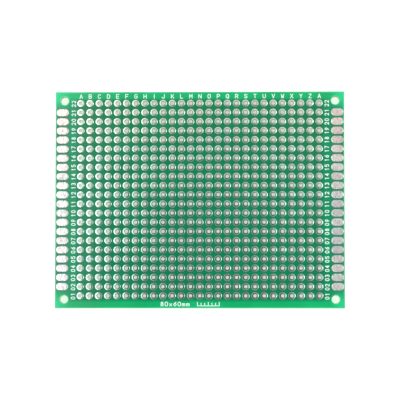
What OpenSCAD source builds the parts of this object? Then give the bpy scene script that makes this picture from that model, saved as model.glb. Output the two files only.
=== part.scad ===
// Double-sided prototype board: glass-epoxy laminate, solder mask on both faces,
// plated through-holes on a square grid, solder pads along two edges and a printed index.
// It lies on its back face. The origin is at the middle of that face, +X runs along
// the lettered edge, +Y towards the letters and +Z out of the front face.

/* [Board] */
// Width of the board, along the lettered edge
board_w = 80; // [50:1:100]
// Depth of the board, along the numbered edges
board_d = 60; // [30:1:100]
// Finished thickness, over the solder on both faces
board_t = 1.6; // [0.8:0.1:3.2]

/* [Hole grid] */
// Distance between neighbouring holes
pitch = 2.54; // [2.3:0.01:5.08]
// Diameter of a finished hole, inside its plating
hole_d = 1.0; // [0.6:0.05:1.3]
// Thickness of the plating on a hole's wall
plating_t = 0.05; // [0.02:0.01:0.08]
// Diameter of the round pad at each end of a hole
pad_d = 2.1; // [1.7:0.05:2.1]
// Height of a soldered pad above the laminate
pad_t = 0.06; // [0.06:0.01:0.12]
// Height of its solder at the rim
solder_rim_t = 0.02; // [0.01:0.005:0.04]
// How far the grid sits towards the lettered edge
grid_shift = 0.15; // [-0.3:0.05:0.3]

/* [Edge pads] */
// Length of an edge pad, across the board
edge_pad_l = 3.5; // [2.4:0.1:4.5]
// Width of an edge pad, along the board's edge
edge_pad_w = 2.15; // [1.2:0.05:2.15]
// Bare strip between an edge pad and the board's edge
edge_pad_inset = 0.2; // [0.2:0.05:1]

/* [Mounting holes] */
// Diameter of a mounting hole
mount_d = 2.2; // [1.6:0.1:3.2]
// Distance from a mounting hole's centre to each of the two edges
mount_inset = 2.5; // [2:0.1:4]

/* [Solder mask] */
// Thickness of the mask on each face
mask_t = 0.03; // [0.01:0.005:0.03]
// Bare ring between the mask and each pad or mounting hole
mask_gap = 0.05; // [0.03:0.01:0.08]

/* [Printed index] */
// Thickness of the printed ink
ink_t = 0.02; // [0.01:0.005:0.025]
// Width of the printing pen
pen_w = 0.2; // [0.12:0.01:0.24]
// Height of a column letter
letter_h = 1.25; // [0.9:0.05:1.4]
// Width of a column letter
letter_w = 0.9; // [0.7:0.01:1.1]
// Height of a row number
number_h = 1.25; // [0.9:0.05:1.4]
// Width of a figure in a row number
number_w = 0.76; // [0.6:0.01:0.9]
// Height of the size mark
size_mark_h = 1.3; // [0.9:0.05:1.5]
// Width of a character in the size mark
size_mark_w = 0.93; // [0.7:0.01:1]
// Distance between characters of a word
letter_space = 0.26; // [0.15:0.01:0.3]
// Distance between printing and the pads beside it
ink_gap = 0.36; // [0.25:0.01:0.5]
// How far the index is printed off the grid, to the right
index_shift_x = 0.08; // [-0.15:0.01:0.15]
// How far it is printed off the grid, towards the letters
index_shift_y = -0.12; // [-0.15:0.01:0.15]
// Centre of the size mark, from the middle of the board
size_mark_x = -6.8; // [-9:0.1:-6]
// Centre of the scale mark, from the middle of the board
scale_mark_x = 2.4; // [2:0.1:9]
// Length of the scale mark, a tick for each millimetre
scale_mark_l = 6; // [3:3:9]
// Height of its long ticks
long_tick_h = 1; // [0.8:0.05:1.2]
// Height of its short ticks
short_tick_h = 0.75; // [0.5:0.05:0.8]

/* [Hidden] */
$fn = 48;

// Faces of the laminate, between the back and the front pads
core_z0 = pad_t;
core_z1 = board_t - pad_t;

// Solder profile of a round pad: it falls to a thin rim and rolls over into the hole
ring_w = (pad_d - hole_d) / 2;
solder_slope = 0.4 * ring_w;
solder_lip = 0.14 * ring_w;

// The grid holds as many holes as fit between the edge pads, the mounting holes and the printing
side_keep = max(edge_pad_inset + edge_pad_l, mount_inset + mount_d / 2 + mask_gap)
    + number_h + 2 * ink_gap + pad_d / 2;
end_keep = max(letter_h + grid_shift, size_mark_h - grid_shift) + 2 * ink_gap + pad_d / 2;
columns = floor((board_w - 2 * side_keep) / pitch) + 1;
rows = floor((board_d - 2 * end_keep) / pitch) + 1;
letters = "ABCDEFGHIJKLMNOPQRSTUVWXYZ";

// Centre of a hole. Column 0 is at the left and row 1 is the lowest
function column_x(c) = (c - (columns - 1) / 2) * pitch;
function row_y(r) = (r - (rows + 1) / 2) * pitch + grid_shift;

// The mounting holes stand in the four corners, and edge pads fill the rows between them
mount_x = board_w / 2 - mount_inset;
mount_y = board_d / 2 - mount_inset;
edge_pad_x = board_w / 2 - edge_pad_inset - edge_pad_l / 2;
edge_pad_reach = edge_pad_w / 2 + 2 * mask_gap + mount_d / 2;
edge_rows = [for (r = [1:rows]) if (abs(row_y(r)) + edge_pad_reach < mount_y) r];

// Centres of the printing
letter_y = row_y(rows) + pad_d / 2 + ink_gap + letter_h / 2;
number_x = column_x(columns - 1) + pad_d / 2 + ink_gap + number_h / 2;
foot_y = (row_y(1) - pad_d / 2 - board_d / 2) / 2;

// Nodes
function column_name(c) =
    str(chr(97 + c % len(letters)), c < len(letters) ? "" : 1 + floor(c / len(letters)));
function column_node(c) = str("plated_holes_", column_name(c));

// Pen strokes of each character, as lines through points on a cell 4 wide and 6 high
cell_w = 4;
cell_h = 6;
pen_arc_steps = 5;
function arc(x, y, rx, ry, from, to) =
    [for (i = [0:pen_arc_steps])
        let (a = from + (to - from) * i / pen_arc_steps) [x + rx * cos(a), y + ry * sin(a)]];
oval = concat(arc(2, 4, 2, 2, 0, 180), arc(2, 2, 2, 2, 180, 360), [[4, 4]]);
bowl = concat([[0, 0], [0, 6], [2.4, 6]], arc(2.4, 4.4, 1.6, 1.6, 90, -90), [[0, 2.8]]);
function strokes(ch) =
    ch == "A" ? [[[0, 0], [2, 6], [4, 0]], [[0.7, 2], [3.3, 2]]] :
    ch == "B" ? [concat([[0, 0], [0, 6]], arc(2.4, 4.5, 1.3, 1.5, 90, -90), [[0, 3]]),
                 concat([[2.4, 3]], arc(2.6, 1.5, 1.4, 1.5, 90, -90), [[0, 0]])] :
    ch == "C" ? [concat(arc(2, 4, 2, 2, 25, 180), arc(2, 2, 2, 2, 180, 335))] :
    ch == "D" ? [concat([[0, 0], [0, 6]], arc(1.8, 3.8, 2.2, 2.2, 90, 0),
                        arc(1.8, 2.2, 2.2, 2.2, 0, -90), [[0, 0]])] :
    ch == "E" ? [[[4, 6], [0, 6], [0, 0], [4, 0]], [[0, 3], [3.2, 3]]] :
    ch == "F" ? [[[4, 6], [0, 6], [0, 0]], [[0, 3], [3.2, 3]]] :
    ch == "G" ? [concat(arc(2, 4, 2, 2, 25, 180), arc(2, 2, 2, 2, 180, 360), [[4, 2.8], [2.3, 2.8]])] :
    ch == "H" ? [[[0, 0], [0, 6]], [[4, 0], [4, 6]], [[0, 3], [4, 3]]] :
    ch == "I" ? [[[2, 0], [2, 6]]] :
    ch == "J" ? [concat([[3.6, 6]], arc(1.8, 1.8, 1.8, 1.8, 0, -170))] :
    ch == "K" ? [[[0, 0], [0, 6]], [[3.8, 6], [0, 2.2]], [[1.3, 3.5], [4, 0]]] :
    ch == "L" ? [[[0, 6], [0, 0], [3.6, 0]]] :
    ch == "M" ? [[[0, 0], [0, 6], [2, 2.4], [4, 6], [4, 0]]] :
    ch == "N" ? [[[0, 0], [0, 6], [4, 0], [4, 6]]] :
    ch == "O" ? [oval] :
    ch == "P" ? [bowl] :
    ch == "Q" ? [oval, [[2.4, 1.7], [4.1, -0.2]]] :
    ch == "R" ? [bowl, [[2, 2.8], [4, 0]]] :
    ch == "S" ? [concat(arc(2, 4.5, 2, 1.5, 20, 270), arc(2, 1.5, 2, 1.5, 90, -160))] :
    ch == "T" ? [[[0, 6], [4, 6]], [[2, 6], [2, 0]]] :
    ch == "U" ? [concat([[0, 6]], arc(2, 2, 2, 2, 180, 360), [[4, 6]])] :
    ch == "V" ? [[[0, 6], [2, 0], [4, 6]]] :
    ch == "W" ? [[[0, 6], [0.9, 0], [2, 4], [3.1, 0], [4, 6]]] :
    ch == "X" ? [[[0, 0], [4, 6]], [[0, 6], [4, 0]]] :
    ch == "Y" ? [[[0, 6], [2, 3], [4, 6]], [[2, 3], [2, 0]]] :
    ch == "Z" ? [[[0, 6], [4, 6], [0, 0], [4, 0]]] :
    ch == "0" ? [oval] :
    ch == "1" ? [[[0.8, 4.8], [2.2, 6], [2.2, 0]]] :
    ch == "2" ? [concat(arc(2, 4.1, 2, 1.9, 165, -35), [[0, 0], [4, 0]])] :
    ch == "3" ? [concat(arc(1.9, 4.6, 1.8, 1.4, 150, -90), arc(1.9, 1.6, 2, 1.6, 90, -150))] :
    ch == "4" ? [[[3, 0], [3, 6], [0, 1.8], [4, 1.8]]] :
    ch == "5" ? [concat([[3.7, 6], [0.4, 6], [0.1, 3.3]], arc(1.9, 1.95, 2.1, 1.95, 120, -150))] :
    ch == "6" ? [concat([[3.4, 6]], arc(2, 2, 2, 2, 165, 525))] :
    ch == "7" ? [[[0, 6], [4, 6], [1.4, 0]]] :
    ch == "8" ? [arc(2, 4.6, 1.6, 1.4, -90, 270), arc(2, 1.6, 2, 1.6, 90, 450)] :
    ch == "9" ? [concat([[0.6, 0]], arc(2, 4, 2, 2, -15, 345))] :
    ch == "x" ? [[[0.4, 0], [3.6, 3.6]], [[0.4, 3.6], [3.6, 0]]] :
    ch == "m" ? [[[0, 0], [0, 3.6], [1.4, 3.6], [2, 3], [2, 0]],
                 [[2, 3], [2.6, 3.6], [3.4, 3.6], [4, 3], [4, 0]]] :
    [];

// A line of the pen's width through the points, with rounded ends and corners
pen_core_w = 0.004;
module pen_line(points) {
    offset(r = (pen_w - pen_core_w) / 2, $fn = 12)
        for (i = [1:len(points) - 1])
            let (run = points[i] - points[i - 1])
                translate(points[i - 1])
                    rotate(atan2(run.y, run.x))
                        translate([0, -pen_core_w / 2])
                            square([norm(run), pen_core_w]);
}

// One character of width w and height h over the ink, centred on the origin
module character(ch, w, h) {
    unit_x = (w - pen_w) / cell_w;
    unit_y = (h - pen_w) / cell_h;
    for (stroke = strokes(ch))
        pen_line([for (p = stroke) [(p.x - cell_w / 2) * unit_x, (p.y - cell_h / 2) * unit_y]]);
}

// A word centred on the origin
module word(text_line, w, h) {
    for (i = [0:len(text_line) - 1])
        translate([(i - (len(text_line) - 1) / 2) * (w + letter_space), 0])
            character(text_line[i], w, h);
}

// Ink of a flat drawing, on the front mask
module print_ink() {
    color("white") translate([0, 0, core_z1 + mask_t]) linear_extrude(ink_t) children();
}

module column_letters() {
    print_ink()
        for (c = [0:columns - 1])
            translate([column_x(c) + index_shift_x, letter_y + index_shift_y])
                character(letters[c % len(letters)], letter_w, letter_h);
}

// Row numbers read from the foot of the board upwards, beside the grid's left or right
module row_numbers(side) {
    print_ink()
        for (r = [1:rows])
            translate([side * number_x + index_shift_x, row_y(r) + index_shift_y])
                rotate(90)
                    word(str(floor(r / 10), r % 10), number_w, number_h);
}

module size_mark() {
    print_ink()
        translate([size_mark_x, foot_y])
            word(str(board_w, "x", board_d, "mm"), size_mark_w, size_mark_h);
}

// A short rule of millimetre ticks
module scale_mark() {
    print_ink()
        translate([scale_mark_x - scale_mark_l / 2, foot_y - long_tick_h / 2]) {
            pen_line([[0, 0], [scale_mark_l, 0]]);
            for (i = [0:scale_mark_l])
                pen_line([[i, 0], [i, i % 3 == 0 ? long_tick_h : short_tick_h]]);
        }
}

module at_mounts() {
    for (x = [-mount_x, mount_x], y = [-mount_y, mount_y])
        translate([x, y]) children();
}

module at_holes() {
    for (c = [0:columns - 1], r = [1:rows])
        translate([column_x(c), row_y(r)]) children();
}

module at_edge_pads(side) {
    for (r = edge_rows)
        translate([side * edge_pad_x, row_y(r)]) children();
}

// Outline of an edge pad with round ends, grown all round
module edge_pad_outline(grow = 0) {
    w = edge_pad_w + 2 * grow;
    span = edge_pad_l - edge_pad_w;
    square([span, w], center = true);
    for (x = [-span / 2, span / 2])
        translate([x, 0]) circle(d = w);
}

// Glass-epoxy sheet, drilled for the plated holes and the mounting holes
module laminate() {
    drill_d = hole_d + 2 * plating_t;
    color("khaki") translate([0, 0, core_z0])
        linear_extrude(core_z1 - core_z0)
            difference() {
                square([board_w, board_d], center = true);
                at_holes() circle(d = drill_d);
                at_mounts() circle(d = mount_d);
            }
}

// Solder mask of one face, open at every pad and mounting hole
module mask(z) {
    color("seagreen") translate([0, 0, z])
        linear_extrude(mask_t)
            difference() {
                square([board_w, board_d], center = true);
                at_holes() circle(d = pad_d + 2 * mask_gap);
                for (side = [-1, 1])
                    at_edge_pads(side) edge_pad_outline(mask_gap);
                at_mounts() circle(d = mount_d + 2 * mask_gap);
            }
}

// Half section of the pad on one face of the laminate, up being 1 at the front and -1 at the back
pad_bore_t = pad_t - solder_lip / 2;
function pad_section(face_z, up) = [
    [hole_d / 2, face_z + up * pad_bore_t],
    [hole_d / 2 + solder_lip, face_z + up * pad_t],
    [pad_d / 2 - solder_slope, face_z + up * pad_t],
    [pad_d / 2, face_z + up * solder_rim_t],
    [pad_d / 2, face_z],
    [hole_d / 2 + plating_t, face_z],
];

// Barrel and both pads of a hole, in one
module plated_hole() {
    back = pad_section(core_z0, -1);
    rotate_extrude()
        polygon(concat(
            pad_section(core_z1, 1),
            [for (i = [len(back) - 1:-1:0]) back[i]]
        ));
}

module plated_holes(c) {
    color("silver")
        for (r = [1:rows])
            translate([column_x(c), row_y(r), 0]) plated_hole();
}

module edge_pads(side, z) {
    color("silver") translate([0, 0, z])
        linear_extrude(pad_t) at_edge_pads(side) edge_pad_outline();
}

laminate();
mask(core_z1);  // mask_front
mask(core_z0 - mask_t);  // mask_back
for (c = [0:columns - 1])
    plated_holes(c);
edge_pads(-1, core_z1);  // edge_pads_left_front
edge_pads(1, core_z1);  // edge_pads_right_front
edge_pads(-1, 0);  // edge_pads_left_back
edge_pads(1, 0);  // edge_pads_right_back
column_letters();  // letters
row_numbers(-1);  // numbers_left
row_numbers(1);  // numbers_right
size_mark();
scale_mark();
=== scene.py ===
import math
import random

import bpy
from mathutils import Matrix, Vector


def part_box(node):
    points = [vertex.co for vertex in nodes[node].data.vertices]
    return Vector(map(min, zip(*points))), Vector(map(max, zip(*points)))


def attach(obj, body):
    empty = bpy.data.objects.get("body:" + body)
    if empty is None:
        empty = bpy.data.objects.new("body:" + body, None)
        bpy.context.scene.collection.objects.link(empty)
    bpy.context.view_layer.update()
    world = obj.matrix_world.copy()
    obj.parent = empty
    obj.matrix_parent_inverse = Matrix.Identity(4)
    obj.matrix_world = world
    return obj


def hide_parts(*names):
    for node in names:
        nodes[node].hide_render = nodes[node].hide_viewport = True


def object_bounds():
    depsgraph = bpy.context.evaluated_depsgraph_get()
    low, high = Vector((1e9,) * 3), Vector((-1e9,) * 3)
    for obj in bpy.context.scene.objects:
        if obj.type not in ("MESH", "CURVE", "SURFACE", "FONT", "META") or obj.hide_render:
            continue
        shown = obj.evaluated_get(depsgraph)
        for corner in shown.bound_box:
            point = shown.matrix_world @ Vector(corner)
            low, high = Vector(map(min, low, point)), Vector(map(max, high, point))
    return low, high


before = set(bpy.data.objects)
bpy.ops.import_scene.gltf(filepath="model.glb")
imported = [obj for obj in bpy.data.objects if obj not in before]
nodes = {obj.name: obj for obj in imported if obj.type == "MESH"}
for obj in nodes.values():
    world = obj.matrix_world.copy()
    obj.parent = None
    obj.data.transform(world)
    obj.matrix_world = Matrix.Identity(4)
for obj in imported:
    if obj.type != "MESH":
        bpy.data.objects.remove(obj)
boardLow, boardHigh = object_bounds()
mm = 0.001
closeBy = 0.01 * mm      # slack where places are compared
white = (1, 1, 1, 1)
toneAndShadeLayer = "tinTone"    # the colour layer of the modelled tin, which its materials read: each pad's tone, times the painted shade and reflection of the plated holes


# Levels and places, read from the solids

coreLow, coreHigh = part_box("laminate")
coreThickness = coreHigh.z - coreLow.z
columnNames = [name for name in nodes if name.startswith("plated_holes_")]
columnNames.sort(key=lambda name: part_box(name)[0].x)
edgePadNames = [name for name in nodes if name.startswith("edge_pads_")]
firstLow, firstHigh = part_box(columnNames[0])
gridRows = {"count": 22, "pitch": 2.54 * mm}
rowStart = (firstLow.y + firstHigh.y) / 2 - (gridRows["count"] - 1) / 2 * gridRows["pitch"]


# Small helpers for modelling

def deselectAll():
    if bpy.context.object and bpy.context.object.mode != "OBJECT":
        bpy.ops.object.mode_set(mode="OBJECT")
    bpy.ops.object.select_all(action="DESELECT")


def onlySelect(*objects):
    deselectAll()
    for obj in objects:
        obj.select_set(True)
    bpy.context.view_layer.objects.active = objects[0]


def editSelected(obj, wanted):  # opens edit mode with only the wanted vertices selected
    onlySelect(obj)
    for part in (obj.data.polygons, obj.data.edges, obj.data.vertices):
        for item in part:
            item.select = False
    for vertex in obj.data.vertices:
        vertex.select = wanted(vertex.co)
    bpy.ops.object.mode_set(mode="EDIT")


def applyPlace(obj):
    onlySelect(obj)
    bpy.ops.object.transform_apply(location=True, rotation=True, scale=True)


def joinAs(name, objects):
    onlySelect(*objects)
    bpy.ops.object.join()
    whole = bpy.context.object
    whole.name = whole.data.name = name
    return whole


def copyAt(source, place):
    twin = source.copy()
    twin.data = source.data.copy()
    bpy.context.scene.collection.objects.link(twin)
    twin.data.transform(place)
    return twin


def paintTone(obj, toneAt):
    layer = obj.data.color_attributes.new(name=toneAndShadeLayer, type="FLOAT_COLOR", domain="POINT")
    for vertex, value in zip(obj.data.vertices, layer.data):
        value.color = (*toneAt(vertex.co), 1)


def dress(obj, material):
    obj.data.materials.clear()
    obj.data.materials.append(material)


# Small helpers for materials

def newMaterial(name):
    material = bpy.data.materials.new(name)
    material.use_nodes = True
    tree = material.node_tree
    return material, tree, tree.nodes["Principled BSDF"]


def setInputs(tree, node, inputs):  # links what comes from another node and fills in the rest
    for key, value in inputs.items():
        if hasattr(value, "is_linked"):
            tree.links.new(value, node.inputs[key])
        else:
            node.inputs[key].default_value = value


def addNode(tree, kind, inputs=None, **settings):
    node = tree.nodes.new(kind)
    for key, value in settings.items():
        setattr(node, key, value)
    setInputs(tree, node, inputs or {})
    return node


def placeOn(tree):
    return addNode(tree, "ShaderNodeTexCoord").outputs["Object"]


def axesOf(tree, vector):
    return addNode(tree, "ShaderNodeSeparateXYZ", {"Vector": vector}).outputs


def maths(tree, operation, *values):
    return addNode(tree, "ShaderNodeMath", dict(enumerate(values)), operation=operation).outputs[0]


def fromMiddle(tree, place):  # how far a place lies from the board's middle, along X and along Y
    axes = axesOf(tree, place)
    return [maths(tree, "ABSOLUTE", axes[axis]) for axis in ("X", "Y")]


def stretched(tree, vector, scale):
    return addNode(tree, "ShaderNodeMapping", {"Vector": vector, "Scale": scale}).outputs["Vector"]


def noise(tree, vector, scale, detail):
    return addNode(tree, "ShaderNodeTexNoise", {
        "Vector": vector, "Scale": scale, "Detail": detail}).outputs["Fac"]


def spread(tree, value, source, target, kind="LINEAR"):  # carries one range of values over to another
    return addNode(tree, "ShaderNodeMapRange", {
        "Value": value, "From Min": source[0], "From Max": source[1],
        "To Min": target[0], "To Max": target[1]}, interpolation_type=kind).outputs["Result"]


def band(tree, value, start, end):  # rises softly from 0 to 1 between two places
    return spread(tree, value, (start, end), (0, 1), "SMOOTHSTEP")


def ramp(tree, factor, stops, colours):
    node = addNode(tree, "ShaderNodeValToRGB", {"Fac": factor})
    for element, stop, colour in zip(node.color_ramp.elements, stops, colours):
        element.position = stop
        element.color = (*colour, 1)
    return node.outputs["Color"]


def mixColour(tree, factor, first, second, blend="MIX"):  # a Mix node has its two colours at 6 and 7
    return addNode(tree, "ShaderNodeMix", {0: factor, 6: first, 7: second},
                   data_type="RGBA", blend_type=blend).outputs[2]


noiseReach = (0.3, 0.7)  # where most of a noise's values lie


def mottle(tree, cover, shades, colour):  # darker and brighter patches
    return addNode(tree, "ShaderNodeHueSaturation", {
        "Value": spread(tree, cover, noiseReach, shades), "Color": colour}).outputs["Color"]


def bump(tree, height, strength, depth):
    return addNode(tree, "ShaderNodeBump", {
        "Height": height, "Strength": strength, "Distance": depth}).outputs["Normal"]


# Solder mask

maskLook = {
    "shadedField": (0.006, 0.200, 0.083),      # between the pads: painted shade, where the pads block the light coming through the board
    "beside": (0.007, 0.255, 0.108),     # along the row numbers and the edge pads: painted light coming through the board
    "ends": (0.006, 0.420, 0.142),       # along the letters and the foot, where light comes through
    # corner: brighter still, painted light coming through the board at the corners
    "corner": (0.015, 0.620, 0.240),
    "rim": (0.120, 0.600, 0.330),        # painted highlight, thin along the cut edge
    "halo": (0.200, 0.740, 0.420),       # painted light, thin round the mounting holes
    "besideReach": (33.6 * mm, 34.6 * mm),
    "endsReach": (27.2 * mm, 28.6 * mm),
    "cornerReach": ((35.0 * mm, 39.8 * mm), (23.5 * mm, 29.0 * mm)),
    "rimWidth": (0.50 * mm, 0.05 * mm),
    "mountPlace": (37.5 * mm, 27.5 * mm, 0),
    "haloReach": (1.42 * mm, 1.18 * mm),
    "cloudScale": 120.0,
    "cloudDetail": 3.0,
    "cloudShades": (0.90, 1.10),
    "rippleScale": 900.0,
    "rippleDetail": 2.0,
    "rippleBump": 0.08,
    "rippleDepth": 0.01 * mm,
    "roughness": 0.08,
    "gloss": 0.18,
}


def makeMaskMaterial():
    material, tree, shader = newMaterial("greenSolderMask")
    place = placeOn(tree)
    across, along = fromMiddle(tree, place)
    reachAcross, reachAlong = maskLook["cornerReach"]
    rimStart, rimEnd = maskLook["rimWidth"]
    sideways = addNode(tree, "ShaderNodeCombineXYZ", {"X": across, "Y": along}).outputs["Vector"]
    fromMount = addNode(tree, "ShaderNodeVectorMath", {0: sideways, 1: maskLook["mountPlace"]},
                        operation="DISTANCE").outputs["Value"]
    # painted light and highlights, laid over the painted shade between the pads
    shares = {
        "beside": band(tree, across, *maskLook["besideReach"]),
        "ends": band(tree, along, *maskLook["endsReach"]),
        "corner": maths(tree, "MULTIPLY", band(tree, across, *reachAcross), band(tree, along, *reachAlong)),
        # painted highlight along the cut edge
        "rim": maths(tree, "MAXIMUM", band(tree, across, boardHigh.x - rimStart, boardHigh.x - rimEnd),
                     band(tree, along, boardHigh.y - rimStart, boardHigh.y - rimEnd)),
        # painted light round the mounting holes
        "halo": band(tree, fromMount, *maskLook["haloReach"]),
    }
    colour = (*maskLook["shadedField"], 1)
    for name, share in shares.items():
        colour = mixColour(tree, share, colour, (*maskLook[name], 1))
    clouds = noise(tree, place, maskLook["cloudScale"], maskLook["cloudDetail"])
    ripple = noise(tree, place, maskLook["rippleScale"], maskLook["rippleDetail"])
    setInputs(tree, shader, {
        "Base Color": mottle(tree, clouds, maskLook["cloudShades"], colour),
        "Roughness": maskLook["roughness"],
        "Specular IOR Level": maskLook["gloss"],
        "Normal": bump(tree, ripple, maskLook["rippleBump"], maskLook["rippleDepth"]),
    })
    return material


# Tin

tinLook = {
    "shadow": (0.58, 0.58, 0.56),
    "light": (0.84, 0.84, 0.81),
    "roughness": (0.07, 0.15),
    "stretch": (1.0, 1.0, 1.0),
    "grain": 2200.0,
    "bump": 0.10,
}
edgeTinLook = {
    "shadow": (0.43, 0.375, 0.41),       # pinkish between the mint of the brighter patches
    "light": (0.68, 0.74, 0.70),
    "roughness": (0.24, 0.34),
    "stretch": (1.0, 0.35, 1.0),         # wiped along the board's edge
    "grain": 3400.0,
    "bump": 0.16,
}
anyTinLook = {
    "patchStops": (0.32, 0.62),
    "patchDetail": 3.0,
    "waveDetail": 1.5,
    "waveDepth": 0.03 * mm,
    "warmTint": (1.22, 1.04, 0.97),      # the tin is warmer towards the letters
    "warmReach": (-2.0 * mm, 24.0 * mm),
}


def makeTinMaterial(name, look):
    material, tree, shader = newMaterial(name)
    place = placeOn(tree)
    mapped = stretched(tree, place, look["stretch"])
    grain = noise(tree, mapped, look["grain"], anyTinLook["patchDetail"])
    waves = noise(tree, mapped, look["grain"] / 2, anyTinLook["waveDetail"])
    patches = ramp(tree, grain, anyTinLook["patchStops"], (look["shadow"], look["light"]))
    # each pad's tone, times the painted shade and reflection of the plated holes
    tone = addNode(tree, "ShaderNodeVertexColor", layer_name=toneAndShadeLayer).outputs["Color"]
    warm = band(tree, axesOf(tree, place)["Y"], *anyTinLook["warmReach"])
    colour = mixColour(tree, 1.0, patches, tone, "MULTIPLY")
    colour = mixColour(tree, warm, colour, (*anyTinLook["warmTint"], 1), "MULTIPLY")
    low, high = look["roughness"]
    setInputs(tree, shader, {
        "Base Color": colour,
        "Metallic": 1.0,
        "Roughness": spread(tree, grain, noiseReach, (high, low)),
        "Normal": bump(tree, waves, look["bump"], anyTinLook["waveDepth"]),
    })
    return material


# Laminate

coreLook = {
    "resin": (0.33, 0.36, 0.15),
    "glass": (0.58, 0.60, 0.36),
    "paintedGapShade": (0.012, 0.085, 0.040),      # painted shade on the faces, seen in the gaps round the pads
    "paintedGapShadeReach": (0.010 * mm, 0.005 * mm),
    "layers": 8,
    "waveTurn": 20,                      # radians that the wave texture turns in a metre, at scale 1
    "waviness": {"Distortion": 1.5, "Detail": 2.0, "Detail Scale": 3.0},
    "layerStops": (0.25, 0.8),
    "fibreStretch": (1.0, 1.0, 6.0),
    "fibreScale": 1500.0,
    "fibreDetail": 4.0,
    "fibreShades": (0.8, 1.2),
    "fibreBump": 0.35,
    "fibreDepth": 0.03 * mm,
    "roughness": 0.62,
}


def makeCoreMaterial():
    material, tree, shader = newMaterial("glassEpoxyEdge")
    place = placeOn(tree)
    waveScale = coreLook["layers"] / (coreLook["waveTurn"] * coreThickness) * math.pi
    layers = addNode(tree, "ShaderNodeTexWave", {"Vector": place, "Scale": waveScale, **coreLook["waviness"]},
                     wave_type="BANDS", bands_direction="Z").outputs["Fac"]
    fibres = noise(tree, stretched(tree, place, coreLook["fibreStretch"]),
                   coreLook["fibreScale"], coreLook["fibreDetail"])
    colour = ramp(tree, layers, coreLook["layerStops"], (coreLook["resin"], coreLook["glass"]))
    colour = mottle(tree, fibres, coreLook["fibreShades"], colour)
    lift = maths(tree, "SUBTRACT", axesOf(tree, place)["Z"], (coreLow.z + coreHigh.z) / 2)
    half = coreThickness / 2
    # the faces take the painted shade of the gaps round the pads
    start, end = coreLook["paintedGapShadeReach"]
    onFace = band(tree, maths(tree, "ABSOLUTE", lift), half - start, half - end)
    setInputs(tree, shader, {
        "Base Color": mixColour(tree, onFace, colour, (*coreLook["paintedGapShade"], 1)),
        "Roughness": coreLook["roughness"],
        "Normal": bump(tree, fibres, coreLook["fibreBump"], coreLook["fibreDepth"]),
    })
    return material


# Ink

inkLook = {
    "thin": (0.50, 0.92, 0.78),
    "full": (0.78, 1.0, 0.93),
    "coverStops": (0.28, 0.5),
    "coverScale": 1600.0,
    "coverDetail": 3.0,
    "bump": 0.25,
    "depth": 0.01 * mm,
    "roughness": 0.5,
}


def makeInkMaterial():
    material, tree, shader = newMaterial("whiteIndexInk")
    cover = noise(tree, placeOn(tree), inkLook["coverScale"], inkLook["coverDetail"])
    setInputs(tree, shader, {
        "Base Color": ramp(tree, cover, inkLook["coverStops"], (inkLook["thin"], inkLook["full"])),
        "Roughness": inkLook["roughness"],
        "Normal": bump(tree, cover, inkLook["bump"], inkLook["depth"]),
    })
    return material


maskMaterial = makeMaskMaterial()
tinMaterial = makeTinMaterial("levelledTin", tinLook)
edgeTinMaterial = makeTinMaterial("wipedTin", edgeTinLook)
coreMaterial = makeCoreMaterial()
inkMaterial = makeInkMaterial()

dress(nodes["laminate"], coreMaterial)
dress(nodes["mask_front"], maskMaterial)
dress(nodes["mask_back"], maskMaterial)
for name in ("letters", "numbers_left", "numbers_right", "size_mark", "scale_mark"):
    dress(nodes[name], inkMaterial)
print("materials made and CAD nodes dressed")


# Plated holes: one is modelled, then copied along each column

platedHole = {
    "sides": 10,
    "drillRadius": 0.55 * mm,
    # radius and share of the pad's height, from the hole's mouth out to the rim
    "dome": ((0.50, 0.95), (0.72, 1.00), (0.94, 0.88), (1.05, 0.0)),
    "crestRadius": 0.94 * mm,
    "smoothAngle": math.radians(40),
    "weldReach": 0.001 * mm,
    "unevenness": 0.03 * mm,
    "sag": 0.06,
    # colour laid on the tin out to each radius: painted shade in the hole and at the foot of the rim, and a
    # greenish painted reflection of the mask between
    "shadeAndReflectionByRadius": ((0.56, (0.33, 0.42, 0.36)), (0.80, (0.62, 0.94, 0.78)),
              (1.00, (0.61, 1.04, 0.88)), (1.10, (0.33, 0.58, 0.50))),
    "seed": 7,
}


def modelPlatedHole():
    front, back = coreHigh.z, coreLow.z
    padHeight = boardHigh.z - front
    section = [(radius * mm, front + share * padHeight) for radius, share in platedHole["dome"]]
    section += [(platedHole["drillRadius"], front), (platedHole["drillRadius"], back)]
    section += [(radius * mm, back - share * padHeight) for radius, share in reversed(platedHole["dome"])]
    lastRadius, lastLevel = section[0]
    deselectAll()
    bpy.ops.mesh.primitive_circle_add(vertices=platedHole["sides"], radius=lastRadius, fill_type="NOTHING",
                                      location=(0, 0, lastLevel))
    hole = bpy.context.object
    applyPlace(hole)
    bpy.ops.object.mode_set(mode="EDIT")
    bpy.ops.mesh.select_all(action="SELECT")
    for radius, level in section[1:] + section[:1]:
        bpy.ops.mesh.extrude_region_move(TRANSFORM_OT_translate={"value": (0, 0, level - lastLevel)})
        bpy.ops.transform.resize(value=(radius / lastRadius, radius / lastRadius, 1),
                                 center_override=(0, 0, level))
        lastRadius, lastLevel = radius, level
    bpy.ops.mesh.select_all(action="SELECT")
    bpy.ops.mesh.remove_doubles(threshold=platedHole["weldReach"])
    bpy.ops.mesh.normals_make_consistent(inside=False)
    bpy.ops.object.mode_set(mode="OBJECT")
    bpy.ops.object.shade_smooth_by_angle(angle=platedHole["smoothAngle"])
    for edge in hole.data.edges:  # the crest ends in a crisp line
        if all(abs(hole.data.vertices[i].co.xy.length - platedHole["crestRadius"]) < closeBy
               for i in edge.vertices):
            edge.use_edge_sharp = True
    return hole


tinTone = {"level": (0.86, 1.0), "warmth": 0.02, "fade": 0.3}


def tinToneOf(chance):  # warmer or cooler tin, a little brighter or darker
    level = chance.uniform(*tinTone["level"])
    warm = chance.gauss(0, tinTone["warmth"])
    return Vector((level * (1 + warm), level * (1 - abs(warm) * tinTone["fade"]), level * (1 - warm)))


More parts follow.
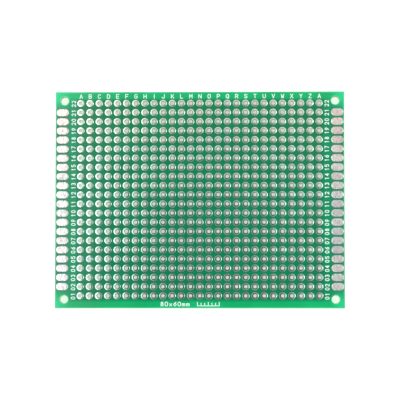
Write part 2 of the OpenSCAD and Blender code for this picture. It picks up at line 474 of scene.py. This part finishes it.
# the painted shade and reflection laid on the tin at a radius
def shadeAndReflectionAtRadius(radius):
    return Vector(next(colour for reach, colour in platedHole["shadeAndReflectionByRadius"] if radius < reach * mm))


def unsettle(obj, chance):  # the crest of each pad leans and sags its own way
    reach = platedHole["unevenness"]
    lean = Vector((chance.uniform(-reach, reach), chance.uniform(-reach, reach)))
    sag = chance.uniform(0, platedHole["sag"])
    innermost = platedHole["drillRadius"] + closeBy
    outermost = platedHole["crestRadius"] + closeBy
    for vertex in obj.data.vertices:
        for level, outward in ((coreHigh.z, 1), (coreLow.z, -1)):
            height = (vertex.co.z - level) * outward
            radius = vertex.co.xy.length
            if height > 0 and innermost < radius < outermost:
                vertex.co.x += lean.x
                vertex.co.y += lean.y
                vertex.co.z -= outward * height * sag * (1 + vertex.co.x / radius) / 2


chance = random.Random(platedHole["seed"])
modelHole = modelPlatedHole()
for name in columnNames:
    low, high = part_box(name)
    column = []
    for row in range(gridRows["count"]):
        centre = Vector(((low.x + high.x) / 2, rowStart + row * gridRows["pitch"], 0))
        pad = copyAt(modelHole, Matrix.Rotation(chance.uniform(0, 2 * math.pi / platedHole["sides"]), 4, "Z"))
        tone = tinToneOf(chance)
        # the pad's own tone, times the painted shade and reflection by radius
        paintTone(pad, lambda point: tone * shadeAndReflectionAtRadius(point.xy.length))
        unsettle(pad, chance)
        pad.data.transform(Matrix.Translation(centre))
        column.append(pad)
    piece = joinAs(name.replace("plated_holes", "tinned_holes"), column)
    dress(piece, tinMaterial)
    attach(piece, "root")
    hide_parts(name)
bpy.data.objects.remove(modelHole)
print("plated holes made:", len(columnNames), "columns of", gridRows["count"])


# Edge pads: one is modelled for the front, and the back ones are turned over

edgePad = {
    "roundSides": 24,
    "length": 3.5 * mm,
    "width": 2.15 * mm,
    "firstLift": 0.001 * mm,             # a hair above the outline, where the rim starts
    "rim": (0.05 * mm, 0.035 * mm),      # how far in, how far up
    "shoulder": (0.16 * mm, 0.018 * mm),
    "crest": (0.30 * mm, 0.007 * mm),
    "smoothAngle": math.radians(60),
}


def modelEdgePad():
    deselectAll()
    bpy.ops.mesh.primitive_circle_add(vertices=edgePad["roundSides"], radius=edgePad["width"] / 2,
                                      fill_type="NGON", rotation=(0, 0, math.pi / edgePad["roundSides"]))
    pad = bpy.context.object
    applyPlace(pad)
    half = (edgePad["length"] - edgePad["width"]) / 2
    for side in (-1, 1):
        editSelected(pad, lambda point: point.x * side > 0)
        bpy.ops.transform.translate(value=(side * half, 0, 0))
        bpy.ops.object.mode_set(mode="OBJECT")
    bpy.ops.object.mode_set(mode="EDIT")
    bpy.ops.mesh.select_all(action="SELECT")
    lifted = edgePad["firstLift"]
    bpy.ops.mesh.extrude_region_move(TRANSFORM_OT_translate={"value": (0, 0, lifted)})
    for step in ("rim", "shoulder", "crest"):
        inward, upward = edgePad[step]
        bpy.ops.mesh.inset(thickness=inward, depth=upward - lifted)
        lifted = 0
    bpy.ops.mesh.select_all(action="SELECT")
    bpy.ops.mesh.normals_make_consistent(inside=False)
    bpy.ops.object.mode_set(mode="OBJECT")
    bpy.ops.object.shade_smooth_by_angle(angle=edgePad["smoothAngle"])
    return pad


modelPad = modelEdgePad()
for name in edgePadNames:
    low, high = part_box(name)
    first = low.y + edgePad["width"] / 2
    count = round((high.y - low.y - edgePad["width"]) / gridRows["pitch"]) + 1
    onBack = name.endswith("_back")
    pads = []
    for row in range(count):
        place = Matrix.Translation(((low.x + high.x) / 2, first + row * gridRows["pitch"],
                                    high.z if onBack else low.z))
        if onBack:
            place = place @ Matrix.Rotation(math.pi, 4, "X")
        pad = copyAt(modelPad, place)
        tone = tinToneOf(chance)
        paintTone(pad, lambda point: tone)
        pads.append(pad)
    piece = joinAs(name.replace("edge_pads", "tinned_edge_pads"), pads)
    dress(piece, edgeTinMaterial)
    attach(piece, "root")
    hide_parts(name)
bpy.data.objects.remove(modelPad)
print("edge pads made:", len(edgePadNames), "rows")


# Floor

floorLook = {
    "size": 3.0,
    "gap": 0.01 * mm,                    # between the floor and the board
    "colour": (0.9, 0.9, 0.9),
    "glow": 0.55,
    "roughness": 0.9,
    "gloss": 0.0,
    "shade": (0.94, 0.97, 0.93),         # painted shadow of the board, greenish, under the grid
    "tint": (0.80, 0.97, 0.84),          # under the two sides, where light comes through the board
    "tintReach": (34.4 * mm, 35.4 * mm),
    "openReach": (-0.2 * mm, 0.9 * mm),  # from the board's edge, where the painted shadow and light under the board end and the floor turns white
}


def makeFloor():
    deselectAll()
    bpy.ops.mesh.primitive_plane_add(size=floorLook["size"], location=(0, 0, boardLow.z - floorLook["gap"]))
    floor = bpy.context.object
    floor.name = "floor"
    applyPlace(floor)
    material, tree, shader = newMaterial("paleFloor")
    across, along = fromMiddle(tree, placeOn(tree))
    start, end = floorLook["openReach"]
    outside = maths(tree, "MAXIMUM", band(tree, across, boardHigh.x + start, boardHigh.x + end),
                    band(tree, along, boardHigh.y + start, boardHigh.y + end))
    # painted shadow under the grid, painted light under the two sides, white beyond the board; the floor
    # glows in these colours too
    colour = mixColour(tree, band(tree, across, *floorLook["tintReach"]),
                       (*floorLook["shade"], 1), (*floorLook["tint"], 1))
    colour = mixColour(tree, outside, colour, white)
    setInputs(tree, shader, {
        "Base Color": mixColour(tree, 1.0, colour, (*floorLook["colour"], 1), "MULTIPLY"),
        "Roughness": floorLook["roughness"],
        "Specular IOR Level": floorLook["gloss"],
        "Emission Color": colour,
        "Emission Strength": floorLook["glow"],
    })
    dress(floor, material)


# Light: a bright tent all round, and two softboxes

tentLook = {
    "light": 0.95,
    "openingLight": 0.115,               # in the tent's opening above the board, which flat tin mirrors
    "openingMiddle": (-0.02, -0.025),
    "openingSquash": 0.62,
    "openingEdge": (0.053, 0.108),
    "wallReach": (0.15, 0.85),
    "wallLight": (1.15, 0.65),           # dimmer beyond the letters and the foot
}
softboxes = {
    "softboxLeft": {"place": (-0.275, 0.0, 1.0), "target": (-0.05, 0, 0), "size": (0.6, 0.32), "power": 1.2},
    "softboxRight": {"place": (0.55, 0.0, 0.45), "target": (0, 0, 0), "size": (0.4, 0.3), "power": 1.1},
}


def makeTent():
    world = bpy.data.worlds.new("softTent")
    bpy.context.scene.world = world
    world.use_nodes = True
    tree = world.node_tree
    axes = axesOf(tree, addNode(tree, "ShaderNodeTexCoord").outputs["Generated"])
    middleX, middleY = tentLook["openingMiddle"]
    away = addNode(tree, "ShaderNodeCombineXYZ", {
        "X": maths(tree, "SUBTRACT", axes["X"], middleX),
        "Y": maths(tree, "MULTIPLY", maths(tree, "SUBTRACT", axes["Y"], middleY), tentLook["openingSquash"]),
        "Z": maths(tree, "SUBTRACT", 1.0, axes["Z"])}).outputs["Vector"]
    distance = addNode(tree, "ShaderNodeVectorMath", {0: away}, operation="LENGTH").outputs["Value"]
    opening = spread(tree, distance, tentLook["openingEdge"],
                     (tentLook["openingLight"], tentLook["light"]), "SMOOTHSTEP")
    walls = spread(tree, maths(tree, "ABSOLUTE", axes["Y"]), tentLook["wallReach"], tentLook["wallLight"])
    setInputs(tree, tree.nodes["Background"], {
        "Color": white, "Strength": maths(tree, "MULTIPLY", opening, walls)})


def addSoftbox(name, look):
    lamp = bpy.data.lights.new(name, "AREA")
    lamp.shape = "RECTANGLE"
    lamp.size, lamp.size_y = look["size"]
    lamp.energy = look["power"]
    box = bpy.data.objects.new(name, lamp)
    bpy.context.scene.collection.objects.link(box)
    box.location = look["place"]
    aim = Vector(look["target"]) - Vector(look["place"])
    box.rotation_euler = aim.to_track_quat("-Z", "Y").to_euler()


# Camera, with the lens and place that the photo's perspective gives

cameraView = {
    "place": (0.01392, -0.02818, 0.49801),
    "look": (-0.0278, 0.0565, -0.9980),
    "up": (0.0011, 0.9984, 0.0565),
    "lens": 162.0,
    "sensor": 36.0,
    "clip": (0.05, 20),
}


def makeCamera():
    data = bpy.data.cameras.new("overheadCamera")
    data.lens = cameraView["lens"]
    data.sensor_width = cameraView["sensor"]
    data.clip_start, data.clip_end = cameraView["clip"]
    camera = bpy.data.objects.new("overheadCamera", data)
    bpy.context.scene.collection.objects.link(camera)
    look = Vector(cameraView["look"]).normalized()
    right = look.cross(Vector(cameraView["up"])).normalized()
    turn = Matrix((right, right.cross(look), -look)).transposed()
    camera.matrix_world = Matrix.Translation(cameraView["place"]) @ turn.to_4x4()
    bpy.context.scene.camera = camera


makeFloor()
makeTent()
for name, look in softboxes.items():
    addSoftbox(name, look)
makeCamera()
bpy.context.scene.view_settings.view_transform = "Standard"
print("floor, light and camera set")
